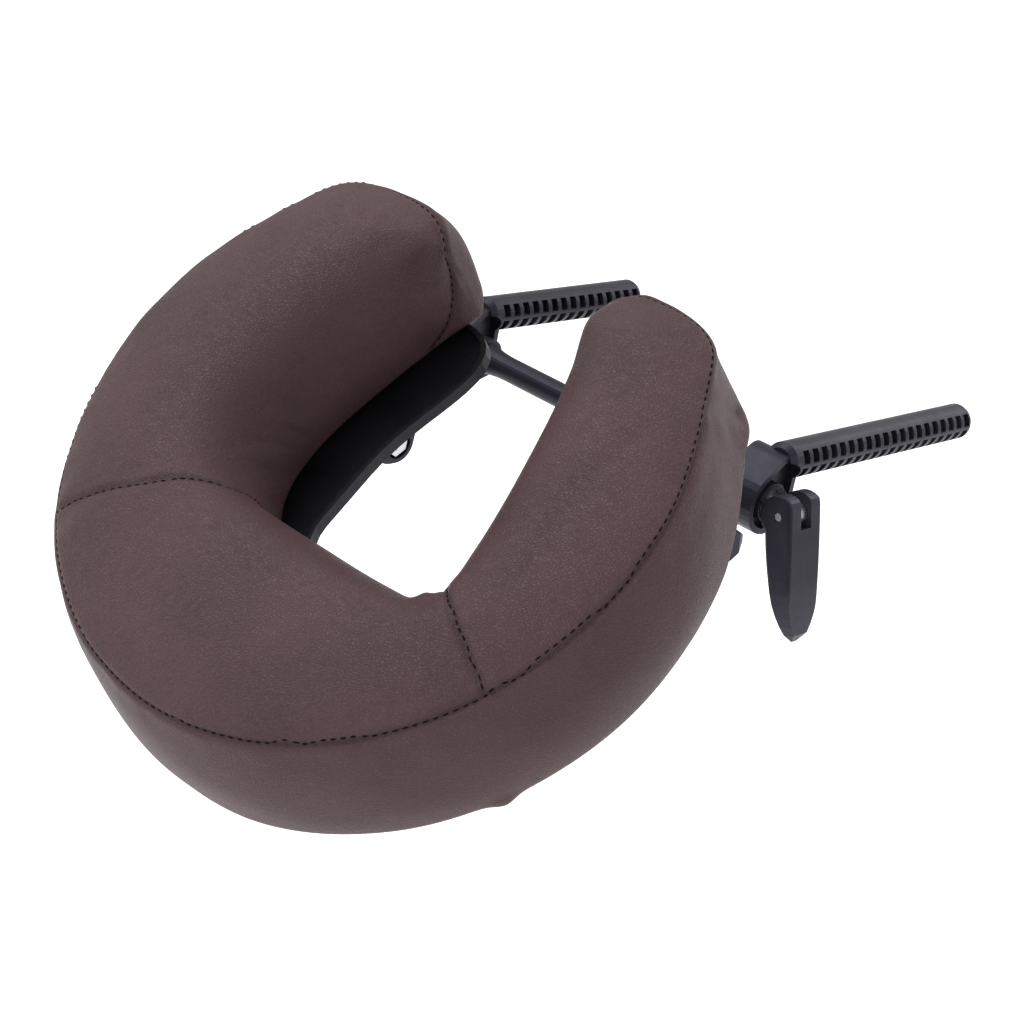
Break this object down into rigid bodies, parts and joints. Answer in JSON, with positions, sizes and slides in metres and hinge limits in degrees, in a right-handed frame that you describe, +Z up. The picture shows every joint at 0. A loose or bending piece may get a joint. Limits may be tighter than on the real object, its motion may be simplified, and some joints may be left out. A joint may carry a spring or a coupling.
{
  "type": "face cradle cushion",
  "caption": "Horseshoe leathercloth face cushion on a tilting black nylon frame, with two ribbed pegs that plug into a massage table and cam lever clamps.",
  "frame": {"origin": "centre of the long peg's free end face", "axes": "+Y along the pegs, out of their free ends towards the table; +X from the short peg to the long peg and the main cam lever; +Z up with the pegs level"},
  "size_m": [0.3036, 0.4405, 0.2299],
  "materials": {
    "nylon": "glass-filled nylon, satin with fine moulded grain",
    "plate": "moulded, matt",
    "steel": "zinc plated",
    "friction": "matt friction facing",
    "leather": "coated leathercloth, fine pebble grain",
    "foam": "open-cell foam",
    "base_cloth": "woven backing",
    "hook": "hook side of hook-and-loop",
    "loop": "loop side of hook-and-loop"
  },
  "bodies": {
    "peg_frame": {"right_peg_arm": "nylon", "left_peg_arm": "nylon", "pivot_rod": "steel", "cam_pin": "steel", "cam_washer": "steel", "rod_washer": "steel", "rod_nut": "steel", "right_friction_disc": "friction", "left_friction_disc": "friction"},
    "clamp_lever": {"cam_lever": "nylon"},
    "yoke": {"crossbar_yoke": "nylon", "left_tilt_bolt": "steel", "left_tilt_nut": "steel", "right_tilt_rod": "steel", "right_tilt_nut": "steel", "tilt_washer": "steel", "tilt_pin": "steel"},
    "tilt_clamp_lever": {"tilt_lever": "nylon"},
    "platform": {"platform_plate": "plate", "right_bracket": "nylon", "left_bracket": "nylon", "bracket_screw_1": "steel", "bracket_screw_2": "steel", "bracket_screw_3": "steel", "bracket_screw_4": "steel", "right_hook_pad": "hook", "right_loop_pad": "loop", "left_hook_pad": "hook", "left_loop_pad": "loop", "front_hook_pad": "hook", "front_loop_pad": "loop", "cushion_cover": "leather", "cushion_foam": "foam", "cushion_base_panel": "base_cloth"}
  },
  "joints": [
    {"name": "height_pivot", "type": "hinge", "parent": "peg_frame", "child": "yoke", "pos_m": [-0.097, -0.162, -0.018], "axis": [1, 0, 0], "range_deg": [-25, 30]},
    {"name": "tilt_pivot", "type": "hinge", "parent": "yoke", "child": "platform", "pos_m": [-0.097, -0.247, -0.042], "axis": [1, 0, 0], "range_deg": [-15, 20]},
    {"name": "main_cam", "type": "hinge", "parent": "peg_frame", "child": "clamp_lever", "pos_m": [0.0176, -0.162, -0.018], "axis": [0, -1, 0], "range_deg": [0, 95]},
    {"name": "tilt_cam", "type": "hinge", "parent": "yoke", "child": "tilt_clamp_lever", "pos_m": [-0.005, -0.247, -0.042], "axis": [0, 0.2717, -0.9624], "range_deg": [0, 85]}
  ]
}
